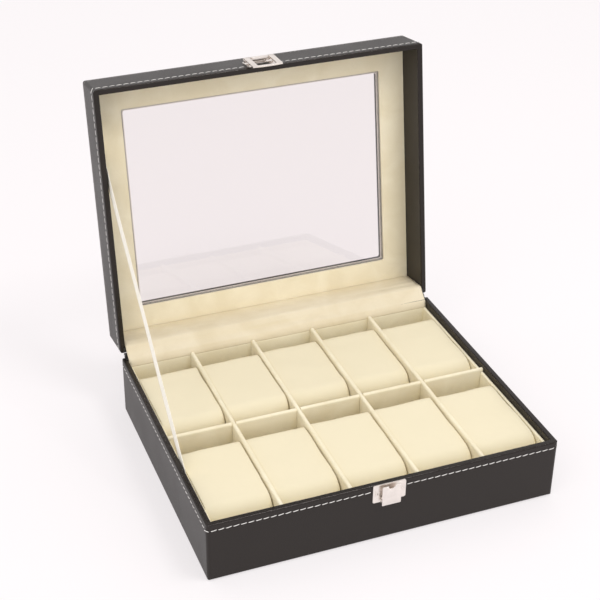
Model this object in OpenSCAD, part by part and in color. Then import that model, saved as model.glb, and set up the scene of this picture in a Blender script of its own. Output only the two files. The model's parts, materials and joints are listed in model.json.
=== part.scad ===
// Ten-place watch box with a window lid, drawn with the lid open.
// Origin: centre of the underside. +Z is up, the front faces -Y.

/* [Box] */
// Width of the box, left to right
box_w = 250; // [200:1:320]
// Depth of the box, front to back
box_d = 200; // [160:1:260]
// Height of the base, from the table to its rim
base_h = 46; // [40:0.5:70]
// Height of the lid, from its rim to its top
lid_h = 32; // [27:0.5:50]
// Gap between the two rims, filled at the back by the hinge leaves
rim_gap = 1; // [0.8:0.1:2]
// How far the lid stands open, in degrees
lid_angle = 99; // [90:1:110]

/* [Boards and leather] */
// Thickness of the upright boards
board_t = 3; // [2:0.1:6]
// Thickness of the bottom board
bottom_t = 3; // [2:0.1:6]
// Thickness of the lid's top board
top_t = 2.5; // [2:0.1:5]
// Thickness of the leather
leather_t = 0.6; // [0.4:0.1:1.2]
// Radius of the upright corners
corner_r = 2.5; // [2:0.1:6]
// Radius of the leather over the rims and the top and bottom edges
edge_r = 1; // [0.8:0.1:2]
// Width of the leather turned under the base
turn_under = 14; // [8:1:30]
// Depth of the leather turned down inside the base
turn_in = 14; // [8:1:20]
// Thickness of the felt under the base
felt_t = 0.8; // [0.5:0.1:2]
// Margin of the felt inside the outline of the base
felt_margin = 4; // [3:0.5:12]

/* [Lining and dividers] */
// Thickness of the velvet-covered lining cards
lining_t = 2.2; // [1.6:0.1:4]
// Thickness of the velvet floor
floor_t = 1.2; // [0.8:0.1:3]
// Height of leather that shows inside, above the lining
lining_drop = 5; // [3:0.5:10]
// Thickness of the velvet-covered dividers
divider_t = 3; // [2:0.1:5]
// Depth of the divider tops below the rim
divider_drop = 2.7; // [1:0.1:8]
// Clearance of each divider end from the lining
divider_clear = 0.2; // [0.1:0.05:0.5]
// Clearance of the half-lap slots on each side
lap_clear = 0.15; // [0.1:0.05:0.4]

/* [Watch pillows] */
// Length of a pillow, front to back
pillow_l = 72; // [60:1:84]
// Depth of the pillow tops below the divider tops
pillow_drop = 1.6; // [0:0.1:8]
// Radius of a pillow's front and back edges
pillow_r = 12; // [4:0.5:14]
// Distance by which a pillow stands in front of the middle of its cell
pillow_fore = 0.5; // [0:0.5:3.5]
// Clearance of a pillow from the dividers on each side
pillow_clear = 0.7; // [0.4:0.1:2]
// Height of a pillow above the velvet floor
pillow_lift = 0.3; // [0.3:0.1:1]

/* [Window] */
// Width of the window in the lid
window_w = 198; // [120:1:220]
// Depth of the window in the lid
window_d = 150; // [100:1:170]
// Radius of the window's corners
window_r = 1.5; // [1:0.1:6]
// Thickness of the glass
glass_t = 1.5; // [1:0.1:3]
// Width of the glass hidden behind the frame on each side
glass_hold = 6; // [3:0.5:10]
// Thickness of the velvet panel round the window
panel_t = 1.6; // [1:0.1:3]
// Width by which the panel's opening is larger than the window
panel_step = 1.8; // [0.8:0.1:3]
// Clearance of the panel from the lid's walls
panel_clear = 0.2; // [0.1:0.05:0.5]

/* [Hinge] */
// Distance of the hinge axis behind the box
hinge_back = 1.75; // [1.7:0.05:3]
// Outer radius of the hinge knuckles
knuckle_r = 1.8; // [1.4:0.1:1.9]
// Radius of the hinge pin
hinge_pin_r = 0.9; // [0.5:0.05:1]
// Running clearance of the pins, on the radius
pin_clear = 0.05; // [0.02:0.01:0.1]
// Length of one hinge knuckle
knuckle_len = 12; // [8:0.5:20]
// Gap between neighbouring knuckles
knuckle_gap = 0.3; // [0.2:0.05:0.6]
// Gap between the two leaves when the lid is shut
leaf_gap = 0.1; // [0.05:0.01:0.2]
// Gap between the hinge and the round corner at each end
hinge_inset = 0.1; // [0:0.1:5]
// Radius of the hinge screws
screw_r = 0.6; // [0.4:0.05:0.8]
// Height of the screws' countersunk heads
screw_head_h = 0.4; // [0.2:0.05:0.4]
// Length of the hinge screws
screw_l = 8; // [5:0.5:12]
// Number of screws in each hinge leaf
screw_count = 6; // [3:1:9]

/* [Ribbon and flap] */
// Width of the ribbon that holds the lid
ribbon_w = 10; // [3:0.5:14]
// Thickness of the ribbon
ribbon_t = 0.4; // [0.3:0.05:0.8]
// Where the ribbon leaves the base, towards the front from the middle
ribbon_base_y = 39; // [20:1:60]
// Where the ribbon enters the lid, towards the front from the middle
ribbon_lid_y = 61.5; // [40:0.5:80]
// Length of ribbon tucked out of sight at each end
ribbon_tail = 5; // [3:0.5:10]
// Thickness of the cloth flap over the hinge
flap_t = 0.8; // [0.5:0.1:1.5]
// Gap between the flap's three lengths
flap_gap = 0.3; // [0.2:0.05:0.6]

/* [Catch on the base] */
// Width of the catch plate
catch_w = 23.4; // [20:0.2:30]
// Height of the catch plate
catch_h = 13.8; // [12:0.2:16]
// Thickness of the plates of the catch and the clasp
plate_t = 0.8; // [0.6:0.05:1.2]
// Radius of the plates' corners
plate_r = 1.2; // [0.5:0.1:2]
// Width of the sprung lever
lever_w = 13.4; // [11:0.2:13.6]
// Height of the sprung lever
lever_h = 15; // [13:0.2:17]
// Height of the lever's foot below the rim
lever_foot = 14.5; // [14:0.1:15]
// Distance of the lever's outer face from the box
lever_out = 4.6; // [4.4:0.1:6]
// Thickness of the lever's metal
lever_t = 0.8; // [0.5:0.05:1]
// Radius of the thumb notch at the top of the lever
notch_r = 2.3; // [1:0.1:3]
// Radius of the catch pin
catch_pin_r = 0.7; // [0.5:0.05:0.8]
// Radius of the catch's lugs and the lever's cheeks
lug_r = 1.2; // [1.1:0.05:1.25]
// Distance of the catch pin from the box
catch_pin_out = 2.5; // [2.3:0.1:2.8]
// Height of the catch pin above the lever's foot
catch_pin_up = 2.7; // [2.4:0.1:2.9]
// Clearance between the lugs and the lever's cheeks
cheek_gap = 0.2; // [0.1:0.05:0.4]
// Gap between the hooked lip and the loop's bar when shut
lip_gap = 0.4; // [0.3:0.05:0.8]
// Thickness of the hooked lip at its edge
lip_t = 0.4; // [0.3:0.05:0.8]
// Height of the lip's sloped back, down which the loop slides
lip_rise = 3.2; // [2:0.1:3.6]
// Reach of the hooked lip over the loop's bar
lip_reach = 0.5; // [0.3:0.05:0.7]
// Radius of the spring's wire
wire_r = 0.15; // [0.1:0.01:0.18]
// Mean radius of the spring's coil
coil_r = 1; // [0.95:0.01:1.05]
// Full turns of the spring
coil_turns = 4; // [2:1:6]

/* [Clasp on the lid] */
// Width of the swinging loop
loop_w = 22.4; // [20:0.2:28]
// How far the loop's face stands beyond its barrels
loop_proud = 0.2; // [0.1:0.05:0.4]
// Length of the loop, from its pivot to its end
loop_l = 20.8; // [19:0.1:23]
// Thickness of the loop
loop_t = 1; // [0.8:0.05:1.4]
// Width of the loop's window
loop_window_w = 14.4; // [14:0.1:17]
// Width of the bar across the loop's end
loop_bar = 2.2; // [1.5:0.1:3]
// Sag of the curved end of the loop
loop_bow = 0.8; // [0.3:0.1:1.2]
// Lean of the hanging loop towards the box, in degrees
loop_lean = 7.2; // [6:0.1:8]
// Width of the clasp plate
clasp_w = 21.6; // [18:0.2:26]
// Height of the clasp plate
clasp_h = 15; // [13:0.2:18]
// Height of the clasp plate above the lid's rim
clasp_up = 1.2; // [0.5:0.1:3]
// Height of the clasp's pivot above the lid's rim
pivot_up = 10.3; // [9:0.1:12]
// Distance of the clasp's pivot from the box
pivot_out = 3.4; // [3.2:0.1:4]
// Outer radius of the clasp's barrels
barrel_r = 1.8; // [1.4:0.1:2]
// Radius of the clasp's pin
clasp_pin_r = 0.8; // [0.5:0.05:1]
// Width of the barrel on the clasp plate
barrel_w = 12.6; // [10:0.2:13.6]
// Length of the curl in front of the clasp's pin
curl_l = 4.6; // [2:0.1:7]
// Width of each lip that stops the loop
rest_w = 2; // [1:0.1:2.4]
// Gap between the lips and the loop
rest_gap = 0.15; // [0.1:0.05:0.4]
// How far the pins stand out at each end
pin_end = 0.2; // [0.1:0.05:0.4]
// Distance of the clasp's nails from the edges of its plate
nail_inset = 2.2; // [1.6:0.1:3]
// Radius of the plate nails
nail_r = 0.5; // [0.3:0.05:0.8]
// Radius of the nail heads
nail_head_r = 1; // [0.8:0.1:1.4]
// Height of the nail heads
nail_head_h = 0.35; // [0.2:0.05:0.4]
// Length of the nails under the plate
nail_l = 3.2; // [2:0.1:3.5]

/* [Hidden] */

$fn = 48;
columns = 5;
eps = 0.01;
over = 1;

leather_black = "#302c2a";
board_brown = "#a98258";
velvet_cream = "#ece2c0";
nickel = "#d8d6d2";
hinge_black = "#2b2a29";

// Half sizes: outside, boards' outside, boards' inside, leather inside
out_x = box_w / 2;
out_y = box_d / 2;
board_x = out_x - leather_t;
board_y = out_y - leather_t;
inner_x = board_x - board_t;
inner_y = board_y - board_t;
wall_x = inner_x - leather_t;
wall_y = inner_y - leather_t;
board_r = max(corner_r - leather_t, 0.5);

// Heights in the base
board_lo = felt_t + leather_t;
board_hi = base_h - leather_t;
floor_lo = board_lo + bottom_t;
floor_z = floor_lo + floor_t;
lining_z = base_h - lining_drop;
divider_z = base_h - divider_drop;

// Faces of the lining
cell_x = wall_x - lining_t;
cell_y = wall_y - lining_t;
cell_w = (2 * cell_x - (columns - 1) * divider_t) / columns;
pillow_w = cell_w - 2 * pillow_clear;
pillow_z = floor_z + pillow_lift;
pillow_h = divider_z - pillow_drop - pillow_z;

// Heights in the shut lid
rim_z = base_h + rim_gap;
lid_z = rim_z + lid_h;
top_board_z = lid_z - leather_t - top_t;
glass_z = top_board_z - glass_t;
panel_z = glass_z - panel_t;

// Hinge
hinge_y = out_y + hinge_back;
hinge_z = base_h + rim_gap / 2;
leaf_t = (rim_gap - leaf_gap) / 2;
hinge_l = 2 * (out_x - corner_r - hinge_inset);
knuckles = 2 * floor(hinge_l / knuckle_len / 2);
knuckle_pitch = hinge_l / knuckles;
bore_r = hinge_pin_r + pin_clear;
leaf_edge = out_y - leather_t;

// Clasp and catch
pivot_y = -out_y - pivot_out;
pivot_z = rim_z + pivot_up;
clasp_z = rim_z + clasp_up;
loop_face = barrel_r + loop_proud - loop_t / 2;
bar_z = pivot_z - (loop_l - loop_bar) * cos(loop_lean) + loop_face * sin(loop_lean);
lever_z = base_h - lever_foot;
lever_y = -out_y - lever_out;
catch_pin_y = -out_y - catch_pin_out;
catch_pin_z = lever_z + catch_pin_up;
cheek_x = lever_w / 2 - lever_t;
lug_x = cheek_x - cheek_gap;
catch_z = base_h - catch_h;
catch_nail_x = (catch_w / 2 + lever_w / 2) / 2;
clasp_nail_x = clasp_w / 2 - nail_inset;
bar_out = pivot_y + (loop_l - loop_bar) * sin(loop_lean) - (barrel_r + loop_proud) * cos(loop_lean);
screw_y = (wall_y + leaf_edge) / 2;

// Point of the shut lid, carried to where the open lid holds it
function opened(p) = [
    p[0],
    hinge_y + (p[1] - hinge_y) * cos(lid_angle) + (p[2] - hinge_z) * sin(lid_angle),
    hinge_z - (p[1] - hinge_y) * sin(lid_angle) + (p[2] - hinge_z) * cos(lid_angle)
];

// Solid between two corners
module block(lo, hi) {
    translate(lo) cube([for (i = [0:2]) hi[i] - lo[i]]);
}

// Rectangle with round corners, centred
module round_rect(w, d, r) {
    square([w, d - 2 * r], center = true);
    square([w - 2 * r, d], center = true);
    for (x = [-1, 1], y = [-1, 1])
        translate([x * (w / 2 - r), y * (d / 2 - r)]) circle(r = r);
}

// Outside of a leather-covered box between two heights, all edges rounded
module soft_box(z0, z1) {
    h = z1 - z0;
    translate([0, 0, z0]) intersection() {
        linear_extrude(h) round_rect(2 * out_x, 2 * out_y, corner_r);
        translate([0, out_y, h / 2]) rotate([90, 0, 0])
            linear_extrude(2 * out_y) round_rect(2 * out_x, h, edge_r);
        translate([-out_x, 0, h / 2]) rotate([90, 0, 90])
            linear_extrude(2 * out_x) round_rect(2 * out_y, h, edge_r);
    }
}

// Side view of a rim's mouth, widening outward round both inner edges
module mouth_outline(half, rim, way) {
    wide = half + edge_r;
    turn = rim - way * edge_r;
    difference() {
        translate([-wide, min(turn, rim + way * over)]) square([2 * wide, edge_r + over]);
        for (s = [-1, 1]) translate([s * wide, turn]) circle(r = edge_r);
    }
}

// What is cut away so that a rim is round on the inside; way is 1 upward and -1 downward
module soft_mouth(rim, way) {
    intersection() {
        translate([0, wall_y + edge_r, 0]) rotate([90, 0, 0])
            linear_extrude(2 * (wall_y + edge_r)) mouth_outline(wall_x, rim, way);
        translate([-wall_x - edge_r, 0, 0]) rotate([90, 0, 90])
            linear_extrude(2 * (wall_x + edge_r)) mouth_outline(wall_y, rim, way);
    }
}

// Outline of the boards, rounded at the upright corners
module board_outline() {
    round_rect(2 * board_x, 2 * board_y, board_r);
}

// Ring of the four upright boards
module board_ring(z0, z1) {
    translate([0, 0, z0]) linear_extrude(z1 - z0) difference() {
        board_outline();
        square([2 * inner_x, 2 * inner_y], center = true);
    }
}

// Front or back board, side -1 or 1
module long_board(side, z0, z1) {
    translate([0, 0, z0]) linear_extrude(z1 - z0) intersection() {
        board_outline();
        translate([-board_x, side > 0 ? inner_y : -board_y]) square([2 * board_x, board_t]);
    }
}

// Left or right board, side -1 or 1
module short_board(side, z0, z1) {
    x = side > 0 ? inner_x : -board_x;
    block([x, -inner_y, z0], [x + board_t, inner_y, z1]);
}

// Everything of the lid is drawn shut and carried open by this
module on_lid() {
    translate([0, hinge_y, hinge_z]) rotate([-lid_angle, 0, 0])
        translate([0, -hinge_y, -hinge_z]) children();
}

// Upright card with a round top edge, running along X from the middle
module card(len, t, h) {
    translate([-len / 2, 0, 0]) rotate([90, 0, 90]) linear_extrude(len) {
        translate([-t / 2, 0]) square([t, h - t / 2]);
        translate([0, h - t / 2]) circle(d = t);
    }
}

// Small round-headed nails in a plate on the front, pointing in
module nails(points, z_face, grow) {
    for (p = points) translate([p[0], z_face, p[1]]) rotate([-90, 0, 0]) {
        translate([0, 0, -eps]) cylinder(r = nail_r + grow, h = plate_t + nail_l + eps);
        if (grow == 0) translate([0, 0, -nail_head_h])
            cylinder(r1 = nail_head_r * 0.7, r2 = nail_head_r, h = nail_head_h);
    }
}

catch_nail_points = [for (s = [-1, 1]) [s * catch_nail_x, catch_z + catch_h / 2]];
clasp_nail_points = [
    for (s = [-1, 1], z = [clasp_z + nail_inset, clasp_z + clasp_h - nail_inset]) [s * clasp_nail_x, z]
];

// Where the hinge screws stand along the leaf
function screw_x(i) = -hinge_l / 2 + (i + 0.5) * hinge_l / screw_count;

// Screws through a hinge leaf, pointing down from its open face
module screws(grow) {
    head_h = screw_head_h + (grow > 0 ? eps : 0);
    head_r = screw_r + screw_head_h;
    for (i = [0:screw_count - 1]) translate([screw_x(i), screw_y, base_h + leaf_t]) {
        translate([0, 0, -screw_l]) cylinder(r = screw_r + grow, h = screw_l);
        translate([0, 0, -screw_head_h]) cylinder(r1 = screw_r + grow, r2 = head_r + grow, h = head_h);
    }
}

// The same screws for the upper leaf, pointing up
module lid_screws(grow) {
    translate([0, 0, 2 * hinge_z]) mirror([0, 0, 1]) screws(grow);
}

// ---- Base ----

module underside_felt() {
    color("#3a3634") linear_extrude(felt_t)
        round_rect(2 * (out_x - felt_margin), 2 * (out_y - felt_margin), corner_r);
}

module base_bottom_board() {
    color(board_brown) block([-inner_x, -inner_y, board_lo], [inner_x, inner_y, floor_lo]);
}

module base_front_board() {
    color(board_brown) difference() {
        long_board(-1, board_lo, board_hi);
        nails(catch_nail_points, -out_y - plate_t, pin_clear);
    }
}

module base_back_board() {
    color(board_brown) difference() {
        long_board(1, board_lo, board_hi);
        screws(pin_clear);
    }
}

module base_left_board() {
    color(board_brown) short_board(-1, board_lo, board_hi);
}

module base_right_board() {
    color(board_brown) short_board(1, board_lo, board_hi);
}

// Leather over the outside and the rim, turned down inside and turned under
module base_leather() {
    color(leather_black) difference() {
        soft_box(felt_t, base_h);
        board_ring(board_lo, board_hi);
        block([-wall_x, -wall_y, board_lo], [wall_x, wall_y, base_h + over]);
        soft_mouth(base_h, 1);
        block([-inner_x - eps, -inner_y - eps, board_lo],
              [inner_x + eps, inner_y + eps, base_h - turn_in]);
        block([turn_under - out_x, turn_under - out_y, felt_t - over],
              [out_x - turn_under, out_y - turn_under, board_lo + eps]);
        nails(catch_nail_points, -out_y - plate_t, pin_clear);
        screws(pin_clear);
    }
}

// ---- Lining, dividers and pillows ----

module lining_floor() {
    color(velvet_cream) block([-wall_x, -wall_y, floor_lo], [wall_x, wall_y, floor_z]);
}

module long_lining(side) {
    color(velvet_cream) translate([0, side * (wall_y - lining_t / 2), floor_z])
        card(2 * wall_x, lining_t, lining_z - floor_z);
}

module short_lining(side) {
    color(velvet_cream) translate([side * (wall_x - lining_t / 2), 0, floor_z]) rotate([0, 0, 90])
        card(2 * cell_y, lining_t, lining_z - floor_z);
}

module lining_front() { long_lining(-1); }

module lining_back() { long_lining(1); }

module lining_left() {
    difference() {
        short_lining(-1);
        ribbon_body(lap_clear);
    }
}

module lining_right() { short_lining(1); }

// Middle of cross divider i, counted from the left
function divider_x(i) = -cell_x + i * (cell_w + divider_t) - divider_t / 2;

divider_h = divider_z - floor_z;
slot_w = divider_t + 2 * lap_clear;

// Long divider, slotted from above, with an ear over the lining at each end
module long_divider() {
    color(velvet_cream) difference() {
        union() {
            translate([0, 0, floor_z]) card(2 * (cell_x - divider_clear), divider_t, divider_h);
            for (s = [-1, 1]) intersection() {
                translate([0, 0, floor_z]) card(2 * (wall_x - divider_clear), divider_t, divider_h);
                translate([s * wall_x, 0, lining_z + lap_clear + divider_h / 2])
                    cube([2 * (lining_t + divider_clear + over), 2 * divider_t, divider_h], center = true);
            }
        }
        for (i = [1:columns - 1])
            block([divider_x(i) - slot_w / 2, -divider_t, floor_z + divider_h / 2],
                  [divider_x(i) + slot_w / 2, divider_t, divider_z + over]);
    }
}

// Cross divider, slotted from below where it straddles the long one
module cross_divider(i) {
    color(velvet_cream) difference() {
        translate([divider_x(i), 0, floor_z]) rotate([0, 0, 90])
            card(2 * (cell_y - divider_clear), divider_t, divider_h);
        block([divider_x(i) - divider_t, -slot_w / 2, floor_z - over],
              [divider_x(i) + divider_t, slot_w / 2, floor_z + divider_h / 2 + lap_clear]);
    }
}

// Pillows 1 to 5 stand in the back row from the left, 6 to 10 in the front row
module watch_pillow(n) {
    column = (n - 1) % columns;
    row = n > columns ? -1 : 1;
    x = -cell_x + column * (cell_w + divider_t) + pillow_clear;
    y = row * (divider_t / 2 + cell_y) / 2 - pillow_fore;
    color(velvet_cream) translate([x, y, pillow_z + pillow_h / 2]) rotate([90, 0, 90])
        linear_extrude(pillow_w) round_rect(pillow_l, pillow_h, pillow_r);
}

// ---- Catch ----

// Ear from the face y0 to the catch pin, with a round end and a bore
module lug(x0, x1, y0) {
    difference() {
        union() {
            block([x0, min(y0, catch_pin_y), catch_pin_z - lug_r],
                  [x1, max(y0, catch_pin_y), catch_pin_z + lug_r]);
            translate([x0, catch_pin_y, catch_pin_z]) rotate([0, 90, 0]) cylinder(r = lug_r, h = x1 - x0);
        }
        translate([x0 - over, catch_pin_y, catch_pin_z]) rotate([0, 90, 0])
            cylinder(r = catch_pin_r + pin_clear, h = x1 - x0 + 2 * over);
    }
}

module catch_plate() {
    color(nickel) union() {
        difference() {
            translate([0, -out_y, catch_z + catch_h / 2]) rotate([90, 0, 0])
                linear_extrude(plate_t) round_rect(catch_w, catch_h, plate_r);
            nails(catch_nail_points, -out_y - plate_t, pin_clear);
        }
        for (s = [0, 1]) mirror([s, 0, 0]) lug(lug_x - lever_t, lug_x, -out_y - plate_t + eps);
    }
}

module catch_nails() {
    color(nickel) nails(catch_nail_points, -out_y - plate_t, 0);
}

// Lever: a face with a thumb notch, two cheeks on the pin, and the hooked lip
module catch_lever() {
    inside = lever_y + lever_t;
    lip_y = bar_out + lip_reach;
    lip_z = bar_z + lip_gap;
    color(nickel) union() {
        translate([0, inside, lever_z + lever_h / 2]) rotate([90, 0, 0])
            linear_extrude(lever_t) difference() {
                round_rect(lever_w, lever_h, plate_r / 2);
                translate([0, lever_h / 2]) circle(r = notch_r);
            }
        for (s = [0, 1]) mirror([s, 0, 0]) lug(cheek_x, lever_w / 2, inside - eps);
        translate([-cheek_x, 0, lip_z]) rotate([90, 0, 90]) linear_extrude(2 * cheek_x)
            polygon([[inside - eps, 0], [lip_y, 0], [lip_y, lip_t], [inside - eps, lip_rise]]);
    }
}

module catch_pin() {
    color(nickel) translate([0, catch_pin_y, catch_pin_z]) rotate([0, 90, 0])
        cylinder(r = catch_pin_r, h = lever_w + 2 * pin_end, center = true);
}

// Torsion spring on the pin: both legs reach down, one on the plate, one on the lever
module catch_spring() {
    sides = 8;
    steps = 12;
    last = 360 * coil_turns + 180;
    pitch = 2.6 * wire_r;
    leg = catch_pin_up - 0.5;
    turns = [for (a = [0:360 / steps:last]) a];
    angles = concat([0], turns, [last]);
    function drop(i) = i == 0 || i == len(angles) - 1 ? leg : 0;
    rings = [
        for (i = [0:len(angles) - 1]) let (a = angles[i], c = [
            pitch * (a / 360 - coil_turns / 2 - 0.25),
            catch_pin_y + coil_r * cos(a),
            catch_pin_z + coil_r * sin(a) - drop(i)
        ]) [
            for (k = [0:sides - 1]) let (b = 360 * k / sides)
                c + wire_r * [sin(b), cos(a) * cos(b), sin(a) * cos(b)]
        ]
    ];
    count = len(rings);
    color(nickel) polyhedron(
        points = [for (r = rings) each r],
        faces = concat(
            [[for (k = [0:sides - 1]) k]],
            [for (i = [0:count - 2], k = [0:sides - 1]) let (n = (k + 1) % sides)
                [i * sides + n, i * sides + k, (i + 1) * sides + k, (i + 1) * sides + n]],
            [[for (k = [sides - 1:-1:0]) (count - 1) * sides + k]]
        ),
        convexity = 6
    );
}

// ---- Lid ----

module window_hole(w, d, z0, z1) {
    translate([0, 0, z0]) linear_extrude(z1 - z0) round_rect(w, d, window_r);
}

module lid_top_board() {
    color(board_brown) on_lid() difference() {
        translate([0, 0, top_board_z]) linear_extrude(top_t) board_outline();
        window_hole(window_w + 2 * leather_t, window_d + 2 * leather_t, top_board_z - over, lid_z);
    }
}

module lid_front_board() {
    color(board_brown) on_lid() difference() {
        long_board(-1, rim_z + leather_t, top_board_z);
        nails(clasp_nail_points, -out_y - plate_t, pin_clear);
    }
}

module lid_back_board() {
    color(board_brown) on_lid() difference() {
        long_board(1, rim_z + leather_t, top_board_z);
        lid_screws(pin_clear);
    }
}

module lid_left_board() {
    color(board_brown) on_lid() short_board(-1, rim_z + leather_t, top_board_z);
}

module lid_right_board() {
    color(board_brown) on_lid() short_board(1, rim_z + leather_t, top_board_z);
}

// Leather over the lid, turned in at the rim and round the window's edge
module lid_leather() {
    color(leather_black) on_lid() difference() {
        soft_box(rim_z, lid_z);
        board_ring(rim_z + leather_t, top_board_z);
        difference() {
            translate([0, 0, top_board_z]) linear_extrude(top_t) board_outline();
            window_hole(window_w + 2 * leather_t, window_d + 2 * leather_t, top_board_z - over, lid_z);
        }
        block([-wall_x, -wall_y, rim_z - over], [wall_x, wall_y, top_board_z + eps]);
        soft_mouth(rim_z, -1);
        window_hole(window_w, window_d, rim_z, lid_z + over);
        nails(clasp_nail_points, -out_y - plate_t, pin_clear);
        lid_screws(pin_clear);
    }
}

module window_glass() {
    color("#dfe8ec", 0.35) on_lid()
        block([-window_w / 2 - glass_hold, -window_d / 2 - glass_hold, glass_z],
              [window_w / 2 + glass_hold, window_d / 2 + glass_hold, top_board_z]);
}

module window_panel() {
    color(velvet_cream) difference() {
        on_lid() difference() {
            block([panel_clear - wall_x, panel_clear - wall_y, panel_z],
                  [wall_x - panel_clear, wall_y - panel_clear, glass_z]);
            window_hole(window_w + 2 * panel_step, window_d + 2 * panel_step,
                        panel_z - over, glass_z + over);
        }
        ribbon_body(lap_clear);
    }
}

// ---- Clasp ----

// Frame of the loop: its pivot at the origin, the loop hanging along -Z
module at_pivot() {
    translate([0, pivot_y, pivot_z]) rotate([loop_lean, 0, 0]) children();
}

// Barrel along X between two places, with its bore
module barrel(x0, x1) {
    translate([x0, 0, 0]) rotate([0, 90, 0]) difference() {
        cylinder(r = barrel_r, h = x1 - x0);
        translate([0, 0, -over]) cylinder(r = clasp_pin_r + pin_clear, h = x1 - x0 + 2 * over);
    }
}

// Plate on the lid: a notch from its foot, a curl round the pin above it, and two lips under the loop
module clasp_plate() {
    face = -out_y - plate_t;
    back_y = pivot_y - (loop_face - loop_t / 2) / cos(loop_lean);
    rest_y = back_y + (pivot_z - clasp_z) * tan(loop_lean) + rest_gap;
    rest_x = clasp_w / 2 - plate_r;
    notch_lo = clasp_z - over - plate_r;
    notch_hi = pivot_z - barrel_r;
    color(nickel) on_lid() union() {
        difference() {
            translate([0, -out_y, clasp_z + clasp_h / 2]) rotate([90, 0, 0])
                linear_extrude(plate_t) round_rect(clasp_w, clasp_h, plate_r);
            nails(clasp_nail_points, face, pin_clear);
            translate([0, -out_y + over, (notch_lo + notch_hi) / 2]) rotate([90, 0, 0])
                linear_extrude(plate_t + 2 * over) round_rect(barrel_w, notch_hi - notch_lo, plate_r);
        }
        translate([0, pivot_y, pivot_z]) barrel(-barrel_w / 2, barrel_w / 2);
        block([-barrel_w / 2, pivot_y, pivot_z + barrel_r - plate_t],
              [barrel_w / 2, face + eps, pivot_z + barrel_r]);
        translate([0, pivot_y - barrel_r + plate_t, pivot_z]) rotate([90, 0, 0])
            linear_extrude(plate_t) intersection() {
                translate([0, -curl_l / 2]) square([barrel_w, curl_l], center = true);
                round_rect(barrel_w, 2 * curl_l, plate_r);
            }
        for (s = [0, 1]) mirror([s, 0, 0])
            block([rest_x - rest_w, rest_y, clasp_z], [rest_x, face + eps, clasp_z + plate_t]);
    }
}

module clasp_nails() {
    color(nickel) on_lid() nails(clasp_nail_points, -out_y - plate_t, 0);
}

// Loop: two arms that swing on the pin, joined by a curved bar at the end
module clasp_loop() {
    bow_r = (loop_w * loop_w / 4 + loop_bow * loop_bow) / (2 * loop_bow);
    bar_d = loop_l - loop_bar;
    color(nickel) on_lid() at_pivot() difference() {
        union() {
            translate([0, loop_t / 2 - loop_face, 0]) rotate([90, 0, 0])
                linear_extrude(loop_t) difference() {
                    intersection() {
                        translate([-loop_w / 2, -loop_l]) square([loop_w, loop_l]);
                        translate([0, bow_r - loop_l]) circle(r = bow_r, $fn = 180);
                    }
                    round_rect(loop_window_w, 2 * bar_d, plate_r);
                }
            for (s = [0, 1]) mirror([s, 0, 0]) barrel(loop_window_w / 2, loop_w / 2);
        }
        rotate([0, 90, 0]) cylinder(r = clasp_pin_r + pin_clear, h = loop_w + over, center = true);
    }
}

module clasp_pin() {
    color(nickel) on_lid() translate([0, pivot_y, pivot_z]) rotate([0, 90, 0])
        cylinder(r = clasp_pin_r, h = loop_w + 2 * pin_end, center = true);
}

// ---- Hinge ----

// One leaf on its rim and its own knuckles: every second one, starting at first
module leaf(first, low_z) {
    high_z = low_z + leaf_t;
    difference() {
        union() {
            block([-hinge_l / 2, wall_y, low_z], [hinge_l / 2, leaf_edge, high_z]);
            for (i = [first:2:knuckles - 1]) {
                x = -hinge_l / 2 + i * knuckle_pitch + knuckle_gap / 2;
                w = knuckle_pitch - knuckle_gap;
                block([x, leaf_edge - eps, low_z], [x + w, hinge_y, high_z]);
                translate([x, hinge_y, hinge_z]) rotate([0, 90, 0]) cylinder(r = knuckle_r, h = w);
            }
        }
        translate([-hinge_l / 2 - over, hinge_y, hinge_z]) rotate([0, 90, 0])
            cylinder(r = bore_r, h = hinge_l + 2 * over);
    }
}

module hinge_base_leaf() {
    color(hinge_black) difference() {
        leaf(0, base_h);
        screws(pin_clear);
    }
}

module hinge_lid_leaf() {
    color(hinge_black) on_lid() difference() {
        leaf(1, rim_z - leaf_t);
        lid_screws(pin_clear);
    }
}

module hinge_pin() {
    color(nickel) translate([0, hinge_y, hinge_z]) rotate([0, 90, 0])
        cylinder(r = hinge_pin_r, h = hinge_l, center = true);
}

module hinge_base_screws() {
    color(nickel) screws(0);
}

module hinge_lid_screws() {
    color(nickel) on_lid() lid_screws(0);
}

// ---- Flap and ribbon ----

// Cloth on the base's back wall, above the lining
module base_flap() {
    color(velvet_cream) block([-wall_x, wall_y - flap_t, lining_z],
                              [wall_x, wall_y, hinge_z - flap_gap / 2]);
}

// Cloth across the open hinge, from one leaf's edge to the other's
module hinge_flap() {
    low = [0, wall_y, hinge_z];
    high = opened(low);
    run = norm(high - low);
    slope = atan2(high[2] - low[2], high[1] - low[1]);
    color(velvet_cream) translate(low) rotate([slope, 0, 0])
        block([-wall_x, flap_gap, 0], [wall_x, run - flap_gap, flap_t]);
}

// Cloth on the lid's back wall, from the rim to the window panel
module lid_flap() {
    color(velvet_cream) on_lid() block([-wall_x, wall_y - flap_t, hinge_z + flap_gap / 2],
                                       [wall_x, wall_y, panel_z]);
}

ribbon_x = -wall_x + ribbon_t / 2 + 0.1;
ribbon_low = [ribbon_x, -ribbon_base_y, lining_z];
ribbon_high = opened([ribbon_x, -ribbon_lid_y, panel_z]);
ribbon_span = norm(ribbon_high - ribbon_low);

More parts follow.
